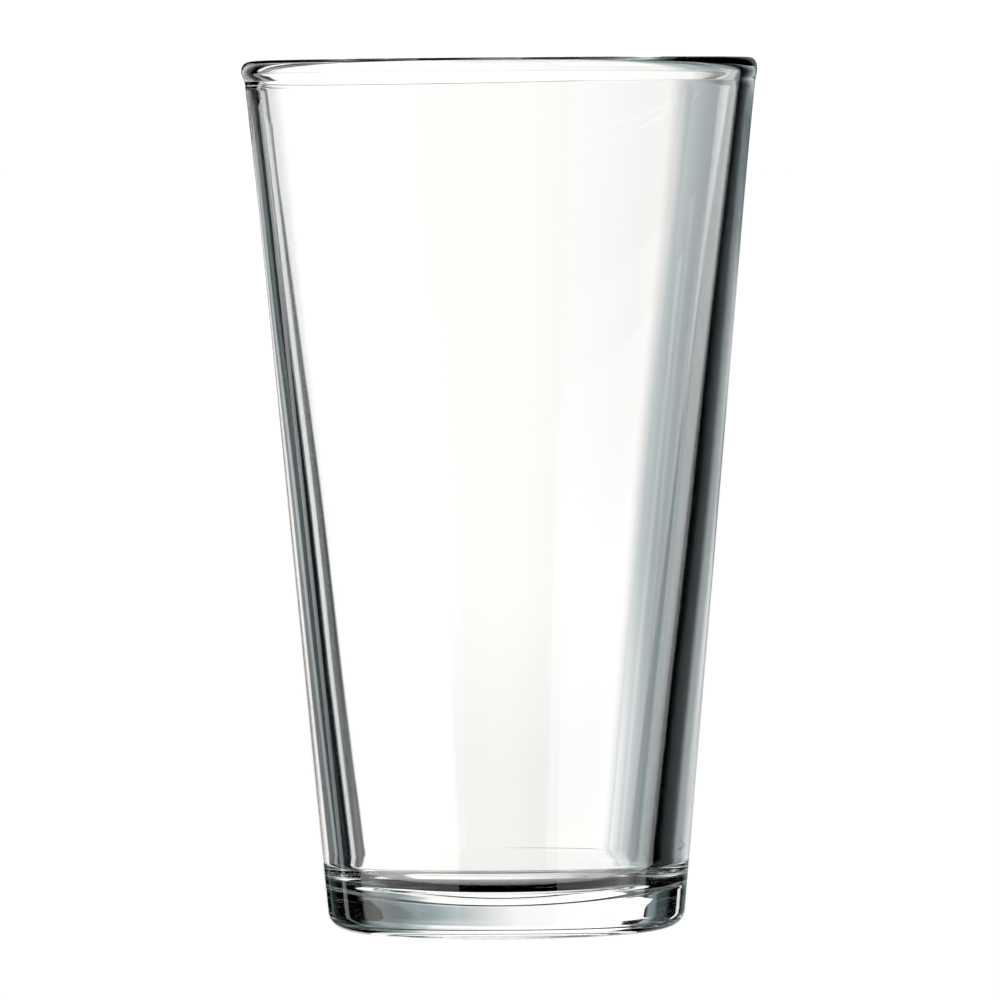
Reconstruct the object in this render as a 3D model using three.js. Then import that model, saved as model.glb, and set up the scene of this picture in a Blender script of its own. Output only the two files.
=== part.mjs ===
// A conical pint glass, the straight-sided kind that is also used as a bar mixing glass.
// It is one piece of pressed soda-lime glass, so the group holds one mesh: a single outline,
// turned round the glass's axis.
//
// Millimetres, +Z up. The origin is the centre of the foot, on the surface the glass stands on.
import * as THREE from "three";

// Overall size
const HEIGHT = 149.2; // table to the top of the rim
const RIM_RADIUS = 44.45; // at the widest part of the bead round the rim

// Outer wall: a cone, carried down to the table, that flares very slightly below the rim
const FOOT_CONE_RADIUS = 30.5; // the cone's radius where it would meet the table
const OUTER_TAPER = 0.0903; // radius gained for each mm of height
const FLARE_START = 118; // height where the flare begins
const FLARE = 0.25; // radius that the flare adds at the neck

// Rim: a thickened bead with a crease (the neck) where it meets the wall. Its top is two rounds that
// meet at the crest: a tight one outside and a longer one inside, down to the lip of the bowl.
const NECK_HEIGHT = 145.5;
const BEAD_HEIGHT = 147.3; // height of the widest part
const BEAD_FULLNESS = 0.9; // how far down the bead stays wide before it turns in to the neck
const CREST_RADIUS = 43.1;
const LIP_HEIGHT = 146.6;

// Inner wall: a steeper cone, so the wall thickens from 2.6 mm at the rim to 5.6 mm at the floor
const INNER_CONE_RADIUS = 24.6; // the inner cone's radius carried down to the table
const INNER_TAPER = 0.1148;

// Base: a solid disc with a dished floor, domed under so that it stands on a narrow flat ring
const FLOOR_HEIGHT = 5.2; // top of the floor at the axis
const FLOOR_DISH_RADIUS = 100; // of the sphere that the floor is part of
const CORNER_RADIUS = 5; // inside, between floor and wall
const HEEL_RADIUS = 3.3; // outside, between foot and wall
const RING_INNER_RADIUS = 24; // the foot ring's inner edge
const DOME_HEIGHT = 1.1; // depth of the hollow under the base

// Fineness of the mesh
const TURN_SEGMENTS = 80;
const ARC_STEPS = 6;

const outerAngle = Math.atan(OUTER_TAPER);
const innerAngle = Math.atan(INNER_TAPER);

// Radius of the outer wall at height z.
function outerRadius(z) {
  const t = Math.max(0, (z - FLARE_START) / (NECK_HEIGHT - FLARE_START));
  return FOOT_CONE_RADIUS + OUTER_TAPER * z + FLARE * t * t;
}

// Radius of the inner wall at height z.
function innerRadius(z) {
  return INNER_CONE_RADIUS + INNER_TAPER * z;
}

// Points of an arc about (r, z), angles in radians counted from the outward horizontal.
function arc(r, z, radius, from, to, steps) {
  const curve = new THREE.EllipseCurve(r, z, radius, radius, from, to, to < from);
  return curve.getPoints(steps);
}

// Points of a quarter ellipse about (r, z), from one quarter turn to the next.
function quarter(r, z, width, height, from) {
  return new THREE.EllipseCurve(r, z, width, height, from, from + Math.PI / 2, false).getPoints(ARC_STEPS);
}

// Underside: the shallow hollow, the flat foot ring and the heel's round.
function underside() {
  const sphere = (RING_INNER_RADIUS ** 2 + DOME_HEIGHT ** 2) / (2 * DOME_HEIGHT);
  const half = Math.asin(RING_INNER_RADIUS / sphere);
  const hollow = arc(0, DOME_HEIGHT - sphere, sphere, Math.PI / 2, Math.PI / 2 - half, ARC_STEPS);
  const heelCentre = outerRadius(HEEL_RADIUS) - HEEL_RADIUS / Math.cos(outerAngle);
  const heel = arc(heelCentre, HEEL_RADIUS, HEEL_RADIUS, -Math.PI / 2, -outerAngle, ARC_STEPS + 1);
  return [...hollow, ...heel];
}

// Outside of the wall above the heel, up to the neck.
function outerWall() {
  const points = [];
  for (let i = 0; i <= ARC_STEPS; i++) {
    const z = THREE.MathUtils.lerp(FLARE_START, NECK_HEIGHT, i / ARC_STEPS);
    points.push(new THREE.Vector2(outerRadius(z), z));
  }
  return points;
}

// The rim: the bead's underside, then over the crest to the inner wall.
function rim() {
  const neck = new THREE.Vector2(outerRadius(NECK_HEIGHT), NECK_HEIGHT);
  const widest = new THREE.Vector2(RIM_RADIUS, BEAD_HEIGHT);
  const turn = new THREE.Vector2(RIM_RADIUS, BEAD_HEIGHT - BEAD_FULLNESS);
  const under = new THREE.QuadraticBezierCurve(neck, turn, widest).getPoints(ARC_STEPS - 1);
  const outer = quarter(CREST_RADIUS, BEAD_HEIGHT, RIM_RADIUS - CREST_RADIUS, HEIGHT - BEAD_HEIGHT, 0);
  const innerWidth = CREST_RADIUS - innerRadius(LIP_HEIGHT);
  const inner = quarter(CREST_RADIUS, LIP_HEIGHT, innerWidth, HEIGHT - LIP_HEIGHT, Math.PI / 2);
  return [...under.slice(1), ...outer.slice(1), ...inner.slice(1)];
}

// Inside: down the inner cone, round the corner and over the dished floor to the axis.
function inside() {
  // The corner's round touches the cone and the floor's sphere, so its centre lies CORNER_RADIUS
  // inside both. `edge` is how far round the sphere, from straight down, the floor reaches.
  const sphere = FLOOR_DISH_RADIUS;
  const sphereHeight = FLOOR_HEIGHT + sphere;
  const toCone = innerRadius(sphereHeight) * Math.cos(innerAngle);
  const edge = Math.asin((toCone - CORNER_RADIUS) / (sphere - CORNER_RADIUS)) - innerAngle;
  const cornerR = (sphere - CORNER_RADIUS) * Math.sin(edge);
  const cornerZ = sphereHeight - (sphere - CORNER_RADIUS) * Math.cos(edge);
  const floorEnd = edge - Math.PI / 2;
  const corner = arc(cornerR, cornerZ, CORNER_RADIUS, -innerAngle, floorEnd, ARC_STEPS + 1);
  const floor = arc(0, sphereHeight, sphere, floorEnd, -Math.PI / 2, ARC_STEPS - 2);
  return [...corner, ...floor.slice(1)];
}

function tumbler() {
  const outline = [...underside(), ...outerWall(), ...rim(), ...inside()];
  outline[0].x = 0;
  outline[outline.length - 1].x = 0;
  const geometry = new THREE.LatheGeometry(outline, TURN_SEGMENTS);
  const clearGlass = new THREE.MeshStandardMaterial({
    color: 0xeef4f3,
    roughness: 0.02,
    metalness: 0,
    transparent: true,
    opacity: 0.35,
  });
  const mesh = new THREE.Mesh(geometry, clearGlass);
  mesh.name = "tumbler";
  mesh.rotation.x = Math.PI / 2; // the lathe turns about Y, and the glass stands along Z
  return mesh;
}

const pintGlass = new THREE.Group();
pintGlass.add(tumbler());

export default pintGlass;
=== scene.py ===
"""A clear conical pint glass on a pale floor, lit as glass is lit in a studio.

The CAD node gives the size and the place. This script turns the same outline into a fine, smooth
surface with the small unevenness of pressed glass, and gives it a clear soda-lime glass material.
The light comes from cards that stand round the glass and are seen only in it and through it.
"""
import math
from collections import namedtuple

import bpy
import numpy as np
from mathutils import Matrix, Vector


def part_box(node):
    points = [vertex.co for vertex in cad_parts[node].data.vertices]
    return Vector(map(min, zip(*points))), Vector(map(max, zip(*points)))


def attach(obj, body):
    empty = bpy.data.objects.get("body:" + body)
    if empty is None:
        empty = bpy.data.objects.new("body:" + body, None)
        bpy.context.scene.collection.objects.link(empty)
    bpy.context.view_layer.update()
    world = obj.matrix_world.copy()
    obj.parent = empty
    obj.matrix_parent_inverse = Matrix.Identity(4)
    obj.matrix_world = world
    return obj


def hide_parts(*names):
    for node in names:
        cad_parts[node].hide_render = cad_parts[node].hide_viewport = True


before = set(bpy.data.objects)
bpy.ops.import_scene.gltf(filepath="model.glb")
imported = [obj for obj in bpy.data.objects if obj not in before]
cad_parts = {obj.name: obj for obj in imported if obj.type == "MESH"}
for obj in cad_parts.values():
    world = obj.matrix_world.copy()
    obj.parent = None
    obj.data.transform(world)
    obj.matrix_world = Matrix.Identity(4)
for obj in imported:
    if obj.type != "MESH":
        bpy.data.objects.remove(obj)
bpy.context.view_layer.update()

MM = 0.001

# The glass's box in the frame gives its height and the radius of its rim.
GLASS_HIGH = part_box("tumbler")[1]
HEIGHT = GLASS_HIGH[2]
RIM_RADIUS = GLASS_HIGH[0]

# Outer wall: a cone, carried down to the table, that flares a little below the rim
FOOT_CONE_RADIUS = 30.5 * MM
OUTER_TAPER = 0.0903
FLARE_START = HEIGHT - 31.2 * MM
FLARE_END = HEIGHT - 3.7 * MM
FLARE = 0.25 * MM

# Rim: a bead whose underside turns in to a neck, and whose top goes over a crest to the bowl's lip.
# Its radius and height are at its widest part, and fullness is how far down from there it stays wide.
# It is fuller on the left of the glass than on the right.
Bead = namedtuple("Bead", "radius height fullness crest_radius neck_height")
BEAD_HEIGHT = HEIGHT - 1.9 * MM
FULL_BEAD = Bead(RIM_RADIUS, BEAD_HEIGHT, 0.9 * MM, 43.1 * MM, HEIGHT - 3.7 * MM)
SLIGHT_BEAD = Bead(RIM_RADIUS - 0.25 * MM, BEAD_HEIGHT, 0.5 * MM, 42.9 * MM, HEIGHT - 4.2 * MM)
LIP_HEIGHT = HEIGHT - 2.6 * MM

# Inner wall: a steeper cone, drawn in a little halfway up
INNER_CONE_RADIUS = 24.74 * MM
INNER_TAPER = 0.1146
INNER_BOW = 0.18 * MM

# Base: a dished floor inside, a rounded heel outside and a shallow hollow within the foot ring
FLOOR_HEIGHT = 5.2 * MM
FLOOR_DISH_RADIUS = 100 * MM
CORNER_RADIUS = 5 * MM
HEEL_RADIUS = 3.3 * MM
RING_INNER_RADIUS = 24 * MM
DOME_HEIGHT = 1.1 * MM

# The press leaves the bowl a little to the left of the outer wall, more at its floor than at its
# mouth, with slight waves in its wall. Each wave has its number round the glass, its start and how
# much height it takes to turn by one radian, which is negative where it turns the other way.
BOWL_SHIFT_LOW = 0.5 * MM
BOWL_SHIFT_HIGH = 0.2 * MM
WAVE_DEPTH = 0.02 * MM
WAVES = [(3, 0, 9 * MM), (5, 1, -13 * MM)]

# Fineness of the turned surface
TURN_SEGMENTS = 256
WALL_STEPS = 90
HOLLOW_STEPS = 30
HEEL_STEPS = 20
BEAD_STEPS = 12
CROWN_STEPS = 16
CORNER_STEPS = 24
FLOOR_STEPS = 30

OUTER_ANGLE = math.atan(OUTER_TAPER)
INNER_ANGLE = math.atan(INNER_TAPER)
QUARTER_TURN = math.pi / 2

# Glass: what is seen through it, the wear on the foot ring and the ripple of its skin
GLASS_IOR = 1.52
GLASS_TINT = (0.6, 0.9, 0.85, 1)
WEAR_HEIGHT = 0.5 * MM
WEAR_ROUGHNESS = 0.35
SCRATCH_SCALE = 900
RIPPLE_SCALE = 70
RIPPLE_DEPTH = 0.02 * MM
LIGHT_BOUNCES = 24

# Camera: the width of the frame is measured where the camera aims, a little left of the axis. It
# leans by CAMERA_LEAN degrees.
CAMERA_PLACE = Vector((0, -1800, 138)) * MM
CAMERA_AIM = Vector((-0.5, 0, 73.5)) * MM
CAMERA_LEAN = -0.45
FRAME_WIDTH = 171.7 * MM
SENSOR_WIDTH = 36
FAR_CLIP = 100

# Floor and backdrop, both nearly white
FLOOR_SIZE = 60
FLOOR_GAP = 0.2 * MM
FLOOR_PAINT = (0.9, 0.9, 0.9, 1)
BACKDROP_LIGHT = 1.12

# Cards round the glass, with black between them. Each has, for each of its rows, the distance from the
# axis, the height and the light, and then how many degrees clockwise it leans in LEAN_HEIGHT. Its
# stops go along it: azimuth in degrees right of straight behind the glass, and share of the light.
# CARD_STEP is the width of a card's columns in degrees.
Card = namedtuple("Card", "name distances heights lights lean stops")
CARD_STEP = 0.5
LEAN_HEIGHT = 100 * MM
FAR = [200 * MM] * 4
FARTHEST = [206 * MM] * 4
SIDE_HEIGHTS = [-140 * MM, 10 * MM, 45 * MM, 130 * MM]
BACK_HEIGHTS = [-140 * MM, 10 * MM, 45 * MM, 300 * MM]
# The base card slopes, so a level look through the base meets its lit underside, and a look down
# through the wall meets its clear top.
BASE_DISTANCES = [80 * MM, 60 * MM]
BASE_HEIGHTS = [4.3 * MM, 7.6 * MM]
CARDS = [
    Card("left_box", FAR, SIDE_HEIGHTS, [2.2, 2.2, 0.8, 0.8], 7, [
        (-150, 0.5), (-104, 0.75), (-92, 1.2), (-86, 0.9), (-82, 0.8), (-79, 0),
    ]),
    Card("left_strip", FAR, SIDE_HEIGHTS, [1.2, 1.2, 1.4, 1.4], 8, [
        (-64, 0), (-62.5, 1), (-59, 1), (-58, 0),
    ]),
    Card("left_line", FAR, SIDE_HEIGHTS, [0.3, 0.3, 0.45, 0.45], 8, [
        (-50, 0), (-46, 0.2), (-40.5, 0.25), (-38.5, 0.8), (-35.5, 1), (-34, 0),
    ]),
    Card("white_card", FAR, BACK_HEIGHTS, [1.04, 1.04, 1.15, 1.15], 0, [
        (-24.8, 0), (-23.6, 1.1), (-20, 1.25), (-12, 1.1), (-4, 1.03), (2, 1.03), (13, 0.88), (15, 0.55),
    ]),
    Card("grey_card", FAR, BACK_HEIGHTS, [1.3, 1.3, 1, 1], 0, [
        (15, 0.6), (18, 0.42), (21, 0.24), (31, 0.2), (34, 0.08), (37, 0),
    ]),
    Card("right_card", FARTHEST, SIDE_HEIGHTS, [1.8, 1.8, 1.7, 1.7], -20, [
        (81, 0), (83, 1), (90, 0.8), (97, 0.6), (115, 0.5),
    ]),
    Card("right_box", FAR, SIDE_HEIGHTS, [2.4, 2.4, 0.75, 0.75], 0, [
        (95, 0.4), (99, 0.75), (103, 1.15), (107, 1.1), (113, 0.75), (150, 0.4),
    ]),
    Card("base_card", BASE_DISTANCES, BASE_HEIGHTS, [1, 1], 0, [
        (-18.8, 1.1), (-1, 1.05), (1.6, 0.8), (6, 0.4), (11, 0.16), (15, 0.14), (15.3, 0), (23, 0),
    ]),
]

# Tint of the cards' light by its strength: greys a little blue, whites a little warm
CARD_TINTS = [
    (0, (0.72, 1, 1.1)),
    (0.45, (0.84, 1, 1.03)),
    (0.75, (0.98, 1, 0.98)),
    (1, (1, 0.995, 0.975)),
]


def add_object(name, data):
    """Puts a new object in the scene."""
    obj = bpy.data.objects.new(name, data)
    bpy.context.collection.objects.link(obj)
    return obj


def add_node(tree, kind, values=None):
    """Adds a node and sets the inputs that values names."""
    node = tree.nodes.new(kind)
    for name, value in (values or {}).items():
        node.inputs[name].default_value = value
    return node


def add_ramp(tree, stops):
    """Adds a colour ramp that goes through the colours at the given positions."""
    ramp = tree.nodes.new("ShaderNodeValToRGB")
    elements = ramp.color_ramp.elements
    while len(elements) < len(stops):
        elements.new(1)
    for element, (position, colour) in zip(elements, stops):
        element.position = position
        element.color = (*colour, 1)
    return ramp


def new_material(name):
    """A material and its node tree, which is still empty."""
    material = bpy.data.materials.new(name)
    material.use_nodes = True
    material.node_tree.nodes.clear()
    return material, material.node_tree


# The glass's outline


def outer_radius(z):
    t = np.maximum(0, (z - FLARE_START) / (FLARE_END - FLARE_START))
    return FOOT_CONE_RADIUS + OUTER_TAPER * z + FLARE * t * t


def inner_radius(z):
    bow = np.sin(math.pi * (z - FLOOR_HEIGHT) / (HEIGHT - FLOOR_HEIGHT))
    return INNER_CONE_RADIUS + INNER_TAPER * z - INNER_BOW * bow


def ellipse(r, z, width, height, start, end, steps):
    """Points of an elliptic arc about (r, z), with angles counted from the outward horizontal."""
    angles = np.linspace(start, end, steps + 1)
    return [(r + width * math.cos(a), z + height * math.sin(a)) for a in angles]


def arc(r, z, radius, start, end, steps):
    """Points of a circular arc about (r, z)."""
    return ellipse(r, z, radius, radius, start, end, steps)


def wall(radius_at, low, high):
    """Points along a wall whose radius at each height radius_at gives, from low to high."""
    return [(radius_at(z), z) for z in np.linspace(low, high, WALL_STEPS + 1)]


def underside():
    """The hollow under the base, the foot ring and the heel's round."""
    ball = (RING_INNER_RADIUS**2 + DOME_HEIGHT**2) / (2 * DOME_HEIGHT)
    half = math.asin(RING_INNER_RADIUS / ball)
    hollow = arc(0, DOME_HEIGHT - ball, ball, QUARTER_TURN, QUARTER_TURN - half, HOLLOW_STEPS)
    heel_centre = outer_radius(HEEL_RADIUS) - HEEL_RADIUS / math.cos(OUTER_ANGLE)
    heel = arc(heel_centre, HEEL_RADIUS, HEEL_RADIUS, -QUARTER_TURN, -OUTER_ANGLE, HEEL_STEPS)
    return hollow + heel


def bead_underside(bead):
    """The curve from the neck out to the widest part of the bead."""
    neck = np.array([outer_radius(bead.neck_height), bead.neck_height])
    turn = np.array([bead.radius, bead.height - bead.fullness])
    widest = np.array([bead.radius, bead.height])
    steps = np.linspace(0, 1, BEAD_STEPS + 1)
    return [tuple((1 - t) ** 2 * neck + 2 * t * (1 - t) * turn + t * t * widest) for t in steps]


def bead_top(bead):
    """From the widest part of the bead over its crest to the lip of the bowl."""
    crest = bead.crest_radius
    outer_width = bead.radius - crest
    outer_height = HEIGHT - bead.height
    outer = ellipse(crest, bead.height, outer_width, outer_height, 0, QUARTER_TURN, CROWN_STEPS)
    inner_width = crest - inner_radius(LIP_HEIGHT)
    inner_height = HEIGHT - LIP_HEIGHT
    inner = ellipse(crest, LIP_HEIGHT, inner_width, inner_height, QUARTER_TURN, math.pi, CROWN_STEPS)
    return outer + inner[1:]


def inside():
    """Down the inner wall, round the corner and over the dished floor to the axis."""
    ball = FLOOR_DISH_RADIUS
    ball_height = FLOOR_HEIGHT + ball
    reach = (INNER_CONE_RADIUS + INNER_TAPER * ball_height) * math.cos(INNER_ANGLE) - CORNER_RADIUS
    half = math.asin(reach / (ball - CORNER_RADIUS)) - INNER_ANGLE
    corner_r = (ball - CORNER_RADIUS) * math.sin(half)
    corner_z = ball_height - (ball - CORNER_RADIUS) * math.cos(half)
    floor_end = half - QUARTER_TURN
    corner = arc(corner_r, corner_z, CORNER_RADIUS, -INNER_ANGLE, floor_end, CORNER_STEPS)
    floor = arc(0, ball_height, ball, floor_end, -QUARTER_TURN, FLOOR_STEPS)
    down = wall(inner_radius, LIP_HEIGHT, corner[0][1])
    return down[1:] + corner[1:] + floor[1:]


def outline(bead):
    """Radius and height of each ring of the surface, from the foot's centre to the floor's."""
    foot = underside()
    side = wall(outer_radius, foot[-1][1], bead.neck_height)
    return np.array(foot + side[1:] + bead_underside(bead)[1:] + bead_top(bead)[1:] + inside())


# The turned surface


def bowl_shifts(points):
    """How far each ring sits off the axis: not at all outside, and to the left inside."""
    crest = int(np.argmax(points[:, 1]))
    shifts = np.interp(points[:, 1], [FLOOR_HEIGHT, LIP_HEIGHT], [BOWL_SHIFT_LOW, BOWL_SHIFT_HIGH])
    share = np.interp(np.arange(len(points)), [crest, crest + CROWN_STEPS], [0, 1])
    return -shifts * share


def wave(a, z):
    """How far the bowl's wall stands out at angle a and height z: slow waves that cross."""
    waves = [math.sin(number * a + start + z / rise) for number, start, rise in WAVES]
    return WAVE_DEPTH * sum(waves) / len(waves)


def turned_points(right, left):
    """Turns an outline that starts and ends on the axis round Z, ring by ring.

    The outline goes evenly from one shape at the right of the glass to another at the left.
    """
    shifts = bowl_shifts(right)
    points = [(0, 0, right[0][1])]
    for i in range(1, len(right) - 1):
        for k in range(TURN_SEGMENTS):
            a = 2 * math.pi * k / TURN_SEGMENTS
            share_of_left = (1 - math.cos(a)) / 2
            r, z = right[i] + (left[i] - right[i]) * share_of_left
            if shifts[i] < 0:
                r += wave(a, z)
            points.append((r * math.cos(a) + shifts[i], r * math.sin(a), z))
    points.append((shifts[-1], 0, right[-1][1]))
    return points


def turned_faces(rings):
    """Faces that join the first point, the rings and the last point into one closed surface."""
    last_ring = 1 + (rings - 1) * TURN_SEGMENTS
    last_point = 1 + rings * TURN_SEGMENTS
    faces = []
    for k in range(TURN_SEGMENTS):
        n = (k + 1) % TURN_SEGMENTS
        faces.append((0, 1 + n, 1 + k))
        for a in range(1, last_ring, TURN_SEGMENTS):
            b = a + TURN_SEGMENTS
            faces.append((a + k, a + n, b + n, b + k))
        faces.append((last_ring + k, last_ring + n, last_point))
    return faces


def make_glass():
    right = outline(SLIGHT_BEAD)
    left = outline(FULL_BEAD)
    mesh = bpy.data.meshes.new("pint_glass")
    mesh.from_pydata(turned_points(right, left), [], turned_faces(len(right) - 2))
    mesh.shade_smooth()
    mesh.validate()
    mesh.materials.append(clear_glass())
    glass = add_object("pint_glass", mesh)
    glass.visible_diffuse = False
    return glass


# The glass's material


def clear_glass():
    """Clear glass, faintly green through its thickness, rippled all over and worn under the foot."""
    material, tree = new_material("clear_glass")
    surface = add_node(tree, "ShaderNodeBsdfPrincipled", {
        "Base Color": (1, 1, 1, 1),
        "IOR": GLASS_IOR,
        "Transmission Weight": 1,
    })
    body = add_node(tree, "ShaderNodeVolumeAbsorption", {"Color": GLASS_TINT, "Density": 1})
    place = add_node(tree, "ShaderNodeTexCoord").outputs["Object"]
    out = add_node(tree, "ShaderNodeOutputMaterial")
    tree.links.new(foot_wear(tree, place), surface.inputs["Roughness"])
    tree.links.new(ripple(tree, place), surface.inputs["Normal"])
    tree.links.new(surface.outputs["BSDF"], out.inputs["Surface"])
    tree.links.new(body.outputs["Volume"], out.inputs["Volume"])
    return material


def foot_wear(tree, place):
    """Roughness: patches of fine scratches where the foot ring has rubbed on tables."""
    height = add_node(tree, "ShaderNodeSeparateXYZ")
    near_table = add_node(tree, "ShaderNodeMapRange", {"From Min": WEAR_HEIGHT, "From Max": 0})
    scratches = add_node(tree, "ShaderNodeTexNoise", {"Scale": SCRATCH_SCALE, "Detail": 4})
    patches = add_ramp(tree, [(0.45, (0, 0, 0)), (0.65, (WEAR_ROUGHNESS,) * 3)])
    wear = add_node(tree, "ShaderNodeMath")
    wear.operation = "MULTIPLY"
    tree.links.new(place, height.inputs[0])
    tree.links.new(height.outputs["Z"], near_table.inputs["Value"])
    tree.links.new(place, scratches.inputs["Vector"])
    tree.links.new(scratches.outputs["Fac"], patches.inputs["Fac"])
    tree.links.new(near_table.outputs["Result"], wear.inputs[0])
    tree.links.new(patches.outputs["Color"], wear.inputs[1])
    return wear.outputs[0]


def ripple(tree, place):
    """Normal: the soft unevenness that cooling leaves in the skin of the glass."""
    noise = add_node(tree, "ShaderNodeTexNoise", {"Scale": RIPPLE_SCALE, "Detail": 1})
    bump = add_node(tree, "ShaderNodeBump", {"Strength": 0.5, "Distance": RIPPLE_DEPTH})
    tree.links.new(place, noise.inputs["Vector"])
    tree.links.new(noise.outputs["Fac"], bump.inputs["Height"])
    return bump.outputs["Normal"]


# Camera, floor and light


def make_camera():
    """Stands a little below the height of the rim, and leans by half a degree."""
    data = bpy.data.cameras.new("camera")
    camera = add_object("camera", data)
    direction = CAMERA_AIM - CAMERA_PLACE
    camera.location = CAMERA_PLACE
    camera.rotation_euler = direction.to_track_quat("-Z", "Y").to_euler()
    camera.rotation_euler.rotate_axis("Z", math.radians(CAMERA_LEAN))
    data.sensor_width = SENSOR_WIDTH
    data.lens = SENSOR_WIDTH * direction.length / FRAME_WIDTH
    data.clip_end = FAR_CLIP
    bpy.context.scene.camera = camera
    return camera


def make_floor():
    """A pale floor just under the foot. The glass shows the cards behind it, and not the floor."""
    half = FLOOR_SIZE / 2
    corners = [(-half, -half, 0), (half, -half, 0), (half, half, 0), (-half, half, 0)]
    mesh = bpy.data.meshes.new("floor")
    mesh.from_pydata(corners, [], [(0, 1, 2, 3)])
    material, tree = new_material("floor")
    paint = add_node(tree, "ShaderNodeBsdfPrincipled", {
        "Base Color": FLOOR_PAINT,
        "Roughness": 0.8,
        "Specular IOR Level": 0,
    })
    out = add_node(tree, "ShaderNodeOutputMaterial")
    tree.links.new(paint.outputs["BSDF"], out.inputs["Surface"])
    mesh.materials.append(material)
    floor = add_object("floor", mesh)
    floor.location.z = -FLOOR_GAP
    floor.visible_glossy = False
    floor.visible_transmission = False


def card_light(name):
    """Gives off the light that the card's mesh attribute holds, from its front, and is clear behind."""
    material, tree = new_material(name)
    level = add_node(tree, "ShaderNodeAttribute")
    level.attribute_name = "light"
    tint = add_ramp(tree, CARD_TINTS)
    light = add_node(tree, "ShaderNodeEmission")
    clear = add_node(tree, "ShaderNodeBsdfTransparent")
    side = add_node(tree, "ShaderNodeNewGeometry").outputs["Backfacing"]
    mix = add_node(tree, "ShaderNodeMixShader")
    out = add_node(tree, "ShaderNodeOutputMaterial")
    tree.links.new(level.outputs["Fac"], tint.inputs["Fac"])
    tree.links.new(level.outputs["Fac"], light.inputs["Strength"])
    tree.links.new(tint.outputs["Color"], light.inputs["Color"])
    tree.links.new(side, mix.inputs[0])
    tree.links.new(light.outputs["Emission"], mix.inputs[1])
    tree.links.new(clear.outputs["BSDF"], mix.inputs[2])
    tree.links.new(mix.outputs[0], out.inputs["Surface"])
    return material


def card_columns(stops):
    """Azimuth and share of the light of each column of a card, in even steps between its stops."""
    columns = []
    for (start, share), (end, next_share) in zip(stops, stops[1:]):
        steps = math.ceil((end - start) / CARD_STEP)
        for i in range(steps):
            t = i / steps
            columns.append((start + (end - start) * t, share + (next_share - share) * t))
    return columns + [stops[-1]]


def card_mesh(card):
    """A sheet bent round the glass, with its light in a mesh attribute."""
    verts = []
    lights = []
    columns = card_columns(card.stops)
    for azimuth, share in columns:
        for distance, z, light in zip(card.distances, card.heights, card.lights):
            a = math.radians(azimuth + card.lean * z / LEAN_HEIGHT)
            verts.append((distance * math.sin(a), distance * math.cos(a), z))
            lights.append(light * share)
    rows = len(card.heights)
    faces = []
    for i in range(len(columns) - 1):
        for left in range(i * rows, i * rows + rows - 1):
            right = left + rows
            faces.append((left, right, right + 1, left + 1))
    mesh = bpy.data.meshes.new(card.name)
    mesh.from_pydata(verts, [], faces)
    mesh.attributes.new("light", "FLOAT", "POINT").data.foreach_set("value", lights)
    mesh.materials.append(card_light(card.name))
    return mesh


def make_cards(camera):
    """Sets the cards on a stand that turns with the camera, so that each view of the glass has them."""
    stand = add_object("light_stand", None)
    turn = stand.constraints.new("LOCKED_TRACK")
    turn.target = camera
    turn.track_axis = "TRACK_NEGATIVE_Y"
    turn.lock_axis = "LOCK_Z"
    for card in CARDS:
        sheet = add_object(card.name, card_mesh(card))
        sheet.parent = stand
        sheet.visible_camera = False
        sheet.visible_diffuse = False
        sheet.visible_shadow = False


def make_world():
    """White to look at and to light the floor by, and black in the glass, where the cards show."""
    world = bpy.data.worlds.new("studio")
    world.use_nodes = True
    tree = world.node_tree
    tree.nodes.clear()
    path = add_node(tree, "ShaderNodeLightPath")
    shown = add_node(tree, "ShaderNodeMath")
    shown.operation = "MAXIMUM"
    black = add_node(tree, "ShaderNodeBackground", {"Color": (0, 0, 0, 1)})
    white = add_node(tree, "ShaderNodeBackground", {"Color": (1, 1, 1, 1), "Strength": BACKDROP_LIGHT})
    mix = add_node(tree, "ShaderNodeMixShader")
    out = add_node(tree, "ShaderNodeOutputWorld")
    tree.links.new(path.outputs["Is Camera Ray"], shown.inputs[0])
    tree.links.new(path.outputs["Is Diffuse Ray"], shown.inputs[1])
    tree.links.new(shown.outputs[0], mix.inputs[0])
    tree.links.new(black.outputs[0], mix.inputs[1])
    tree.links.new(white.outputs[0], mix.inputs[2])
    tree.links.new(mix.outputs[0], out.inputs["Surface"])
    bpy.context.scene.world = world


scene = bpy.context.scene
scene.view_settings.view_transform = "Standard"
scene.cycles.max_bounces = LIGHT_BOUNCES
scene.cycles.transmission_bounces = LIGHT_BOUNCES
scene.cycles.glossy_bounces = LIGHT_BOUNCES

glass = make_glass()
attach(glass, "root")
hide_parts("tumbler")

camera = make_camera()
make_floor()
make_cards(camera)
make_world()
